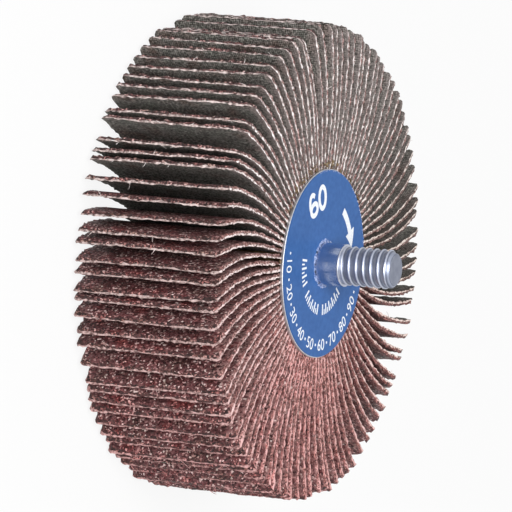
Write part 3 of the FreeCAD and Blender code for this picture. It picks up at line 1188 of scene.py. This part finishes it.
def scale_number(number):
    """A plain number in the default sans face, as a closed mesh."""
    start_clean()
    bpy.ops.object.text_add(location=(0, 0, 0))
    text = bpy.context.object
    text.data.body = str(number)
    text.data.resolution_u = 4
    text.data.offset = 0.0
    text.data.extrude = 0.1
    bpy.ops.object.convert(target="MESH")
    piece = bpy.context.object
    start_editing(piece)
    bpy.ops.mesh.remove_doubles(threshold=1e-4)
    stop_editing()
    places = places_of(piece.data)
    low = places.min(0)
    high = places.max(0)
    scale = SCALE_HEIGHT / (high[1] - low[1])
    places = (places - (low + high) / 2) * (scale, scale, INK_HEIGHT / (high[2] - low[2]))
    places[:, 2] += INK_HEIGHT / 2
    set_places(piece.data, places)
    return piece


def printed_bar(inner, outer, width, angle):
    """One bar of print that points away from the shank."""
    start_clean()
    bpy.ops.mesh.primitive_cube_add(size=1, location=(0, 0, 0))
    bar = bpy.context.object
    bar.scale = (outer - inner, width, INK_HEIGHT)
    bar.location = ((inner + outer) / 2, 0, INK_LEVEL + INK_HEIGHT / 2)
    in_place(bar)
    start_editing(bar)
    bpy.ops.mesh.bevel(offset=0.3 * INK_HEIGHT, segments=1)
    bpy.ops.object.mode_set(mode="OBJECT")
    bar.rotation_euler = (0, 0, angle)
    in_place(bar)
    return bar


def dial_scale():
    """Plain numbers from 10 to 90 round the lower half, with marks between them, and three groups of
    short and long marks inside."""
    marks = []
    numbers = np.linspace(SCALE_START, SCALE_END, SCALE_NUMBERS)
    step = numbers[1] - numbers[0]
    for place, angle in enumerate(numbers):
        number = scale_number(10 * (place + 1))
        set_on_label(number, SCALE_RADIUS, angle, top_outward=False)
        marks.append(number)
    for place in range(SCALE_NUMBERS + 1):
        angle = SCALE_START + (place - 0.5) * step
        dot = (SCALE_RADIUS - DOT_SIZE / 2, SCALE_RADIUS + DOT_SIZE / 2, DOT_SIZE)
        marks.append(printed_bar(*dot, angle))
    for first, last, count in MARK_GROUPS:
        for place, degrees in enumerate(np.linspace(first, last, count)):
            inner, width = SHORT_MARK if place % 2 else LONG_MARK
            marks.append(printed_bar(inner, MARK_END, width, math.radians(degrees)))
    printed("label_dial_scale", marks)


def turning_arrow():
    """A plain curved arrow that shows which way the wheel turns, its curled tips trailing."""
    start = math.radians(55)
    neck = math.radians(30)
    point = math.radians(14)
    middle = 10.3 * MM
    half_band = 0.62 * MM
    half_head = 1.6 * MM
    half_point = 0.03 * MM
    shapes = []
    for first, last, first_half, last_half in (
        (start, neck, half_band, half_band),
        (neck, point, half_head, half_point),
    ):
        start_clean()
        bpy.ops.mesh.primitive_grid_add(x_subdivisions=12, y_subdivisions=1, size=1, location=(0.5, 0, 0))
        band = bpy.context.object
        in_place(band)
        places = places_of(band.data)
        share = places[:, 0]
        angle = first + (last - first) * share
        radius = middle - 2 * places[:, 1] * (first_half + (last_half - first_half) * share)
        places = np.column_stack((radius * np.cos(angle), radius * np.sin(angle), 0 * angle + INK_LEVEL))
        set_places(band.data, places)
        thicken(band, INK_HEIGHT)
        shapes.append(band)
    printed("label_turning_arrow", shapes)


def scattered_bits(name, count, place, sizes, material, slot):
    """Small uneven lumps, all modelled from one. The place function gives each one's angle, radius
    and level."""
    start_clean()
    bpy.ops.mesh.primitive_ico_sphere_add(subdivisions=2, radius=1, location=(0, 0, 0))
    lump = bpy.context.object
    ball = places_of(lump.data)
    bits = []
    for _ in range(count):
        angle, radius, level = place()
        size = rng.uniform(*sizes)
        stretch = np.array((rng.uniform(0.7, 1.2), rng.uniform(0.7, 2.0), rng.uniform(0.5, 1.0)))
        bumps = 1 + 0.16 * rng.normal(size=(len(ball), 1))
        outward = (math.cos(angle), math.sin(angle), 0)
        sideways = (-math.sin(angle), math.cos(angle), 0)
        turned = np.array((outward, sideways, (0, 0, 1)))
        placed = (ball * bumps * stretch * size) @ turned + np.array(polar(radius, angle, level))
        mesh = lump.data.copy()
        set_places(mesh, placed)
        bits.append(linked("bit", mesh))
    bpy.data.objects.remove(lump)
    piece = joined(name, bits)
    smooth_by_angle(piece, 60)
    made_of(piece, material)
    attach(piece, "root")


def torn_edges():
    """Flecks of torn white paper round the label's hole, and on its rim at the upper right."""

    def at_the_hole():
        angle = rng.uniform(0, 2 * math.pi)
        radius = LABEL_BORE + rng.uniform(-0.3, 0.15) * MM
        return angle, radius, LABEL_FACE + rng.uniform(-0.08, 0.03) * MM

    def at_the_rim():
        angle = math.radians(rng.uniform(0, 110))
        radius = LABEL_RADIUS + rng.uniform(-0.2, 0.02) * MM
        return angle, radius, LABEL_FACE + rng.uniform(-0.06, 0.0) * MM

    paper = (TORN_PAPER, "printed_label")
    scattered_bits("label_torn_hole", 190, at_the_hole, (0.1 * MM, 0.2 * MM), *paper)
    scattered_bits("label_torn_rim", 60, at_the_rim, (0.05 * MM, 0.17 * MM), *paper)


def resin_drops():
    """Drops of resin squeezed out between the roots, most of them over the top."""

    def at_the_flange():
        over_top = math.radians(105)
        angle = over_top + rng.normal(0, 0.65)
        radius = FLANGE_RADIUS + rng.uniform(0.05, 1.3) * MM
        return angle, radius, FRONT_LEVEL + rng.uniform(-0.25, 0.1) * MM

    scattered_bits("resin_beads", 110, at_the_flange, (0.12 * MM, 0.32 * MM), EPOXY, "cast_resin")


def dress_solids():
    """Gives the solids that stay their materials."""
    finishes = {
        "front_flange": STEEL,
        "rear_flange": STEEL,
        "resin_core": EPOXY,
        "front_label": LABEL,
    }
    for name, material in finishes.items():
        made_of(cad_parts[name], material)


# Camera, floor and light

CAMERA_LENS = 414.8
CAMERA_DISTANCE = 949.5 * MM
CAMERA_AIM = Vector((0.4, 0.2, 13.8)) * MM
CAMERA_BEARING = math.radians(177.78)
CAMERA_HEIGHT = math.radians(25.31)
PICTURE_UP = Vector((0, 1, -0.082))


def camera():
    """The photograph's view, rolled so that the shank points right."""
    data = bpy.data.cameras.new("camera")
    data.sensor_width = 36
    data.lens = CAMERA_LENS
    data.clip_start = 0.05
    data.clip_end = 20
    back = polar(math.cos(CAMERA_HEIGHT), CAMERA_BEARING, math.sin(CAMERA_HEIGHT))
    right = PICTURE_UP.cross(back).normalized()
    up = back.cross(right)
    turn = Matrix((right, up, back)).transposed().to_4x4()
    item = linked("camera", data)
    item.matrix_world = Matrix.Translation(CAMERA_AIM + back * CAMERA_DISTANCE) @ turn
    bpy.context.scene.camera = item


def softbox(name, direction, distance, size, watts):
    """A square soft light that faces the wheel."""
    data = bpy.data.lights.new(name, "AREA")
    data.shape = "SQUARE"
    data.size = size
    data.energy = watts
    item = linked(name, data)
    away = Vector(direction).normalized()
    item.location = CAMERA_AIM + away * distance
    item.rotation_euler = away.to_track_quat("Z", "Y").to_euler()


def studio():
    start_clean()
    bpy.ops.mesh.primitive_plane_add(size=8, location=(0, 0, 0))
    floor = bpy.context.object
    floor.name = "studio_floor"
    floor.data.materials.append(studio_floor_paint())

    world = bpy.data.worlds.new("studio")
    bpy.context.scene.world = world
    world.use_nodes = True
    tree = world.node_tree
    tree.nodes.clear()
    room = add_node(tree, "Background", {"Color": (1, 1, 1, 1), "Strength": 0.34})
    white = add_node(tree, "Background", {"Color": (1, 1, 1, 1), "Strength": 1.0})
    mixture = {"Fac": seen_directly(tree), 1: room.outputs[0], 2: white.outputs[0]}
    mixed = add_node(tree, "MixShader", mixture)
    add_node(tree, "OutputWorld", {"Surface": mixed.outputs[0]})

    softbox("key_light", (-0.5, 0.1, 0.8), 0.9, 0.5, 7)
    softbox("left_light", (-0.95, -0.2, 0.2), 5.0, 3.0, 75)
    bpy.context.scene.view_settings.view_transform = "Standard"


flap_pack()
shank()
grit_number()
dial_scale()
turning_arrow()
torn_edges()
resin_drops()
dress_solids()
studio()
camera()
